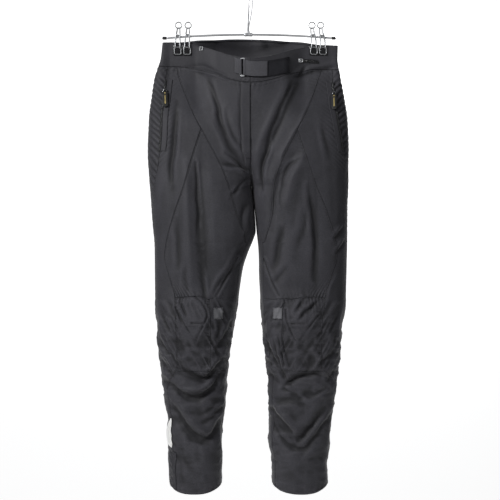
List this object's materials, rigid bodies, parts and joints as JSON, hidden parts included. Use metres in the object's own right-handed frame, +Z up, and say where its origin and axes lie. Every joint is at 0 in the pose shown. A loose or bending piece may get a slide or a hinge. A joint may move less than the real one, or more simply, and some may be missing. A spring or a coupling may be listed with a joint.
{
  "type": "motorcycle trousers on a clip hanger",
  "caption": "Black woven riding trousers with knee panels, zipped side pockets and a hook-and-loop waist tab, hung flat by the waistband from a wire hanger with spring clips.",
  "frame": {"origin": "top of the inside of the hanger's hook, where it rests on a rail", "axes": "+Z up, -Y out of the trousers' front, +X towards the wearer's left"},
  "size_m": [0.4519, 0.1612, 1.1546],
  "materials": {
    "shell_fabric": "matt black woven nylon with a faint sheen",
    "knee_fabric": "matt black woven nylon with a coarser weave",
    "webbing": "dark grey woven tape",
    "loop_tape": "fuzzy black loop tape",
    "hook_tape": "dark grey hook tape",
    "zip_tape": "black zip and strap tape",
    "reflector": "white retroreflective cloth",
    "rubber": "black vinyl",
    "chrome": "polished"
  },
  "bodies": {
    "garment": {"rod": "chrome", "hook": "chrome", "hook_saddle": "chrome", "tab_ring": "chrome", "adjuster_slide_left": "chrome", "adjuster_slide_right": "chrome", "rod_end_right": "rubber", "rod_end_left": "rubber", "clip_1_spring": "chrome", "clip_1_jaw_front": "rubber", "clip_1_jaw_back": "rubber", "clip_2_spring": "chrome", "clip_2_jaw_front": "rubber", "clip_2_jaw_back": "rubber", "clip_3_spring": "chrome", "clip_3_jaw_front": "rubber", "clip_3_jaw_back": "rubber", "clip_4_spring": "chrome", "clip_4_jaw_front": "rubber", "clip_4_jaw_back": "rubber", "waistband_right": "shell_fabric", "waistband_left": "shell_fabric", "waistband_back": "shell_fabric", "fly": "shell_fabric", "ring_anchor": "shell_fabric", "loop_tape": "loop_tape", "tab_strap": "webbing", "adjuster_strap": "zip_tape", "right_centre_front": "shell_fabric", "right_outer_side": "shell_fabric", "right_thigh_front": "shell_fabric", "right_inner_knee": "shell_fabric", "right_shin_front": "shell_fabric", "right_back": "shell_fabric", "right_pocket_welt": "shell_fabric", "right_ankle_placket": "shell_fabric", "right_knee_panel": "knee_fabric", "right_pocket_zip": "zip_tape", "right_pocket_slider": "chrome", "right_knee_tape": "hook_tape", "right_reflective_patch": "reflector", "left_centre_front": "shell_fabric", "left_outer_side": "shell_fabric", "left_thigh_front": "shell_fabric", "left_inner_knee": "shell_fabric", "left_shin_front": "shell_fabric", "left_back": "shell_fabric", "left_pocket_welt": "shell_fabric", "left_ankle_placket": "shell_fabric", "left_knee_panel": "knee_fabric", "left_pocket_zip": "zip_tape", "left_pocket_slider": "chrome", "left_knee_tape": "hook_tape", "left_reflective_patch": "reflector"},
    "right_pull": {"right_pocket_pull": "rubber"},
    "left_pull": {"left_pocket_pull": "rubber"}
  },
  "joints": [
    {"name": "right_pull_hinge", "type": "hinge", "parent": "garment", "child": "right_pull", "pos_m": [-0.18925, -0.02742, -0.25593], "axis": [-0.9868, -0.1617, 0], "range_deg": [0, 150]},
    {"name": "left_pull_hinge", "type": "hinge", "parent": "garment", "child": "left_pull", "pos_m": [0.187, -0.02533, -0.26166], "axis": [-0.9987, 0.0508, 0], "range_deg": [0, 150]}
  ]
}
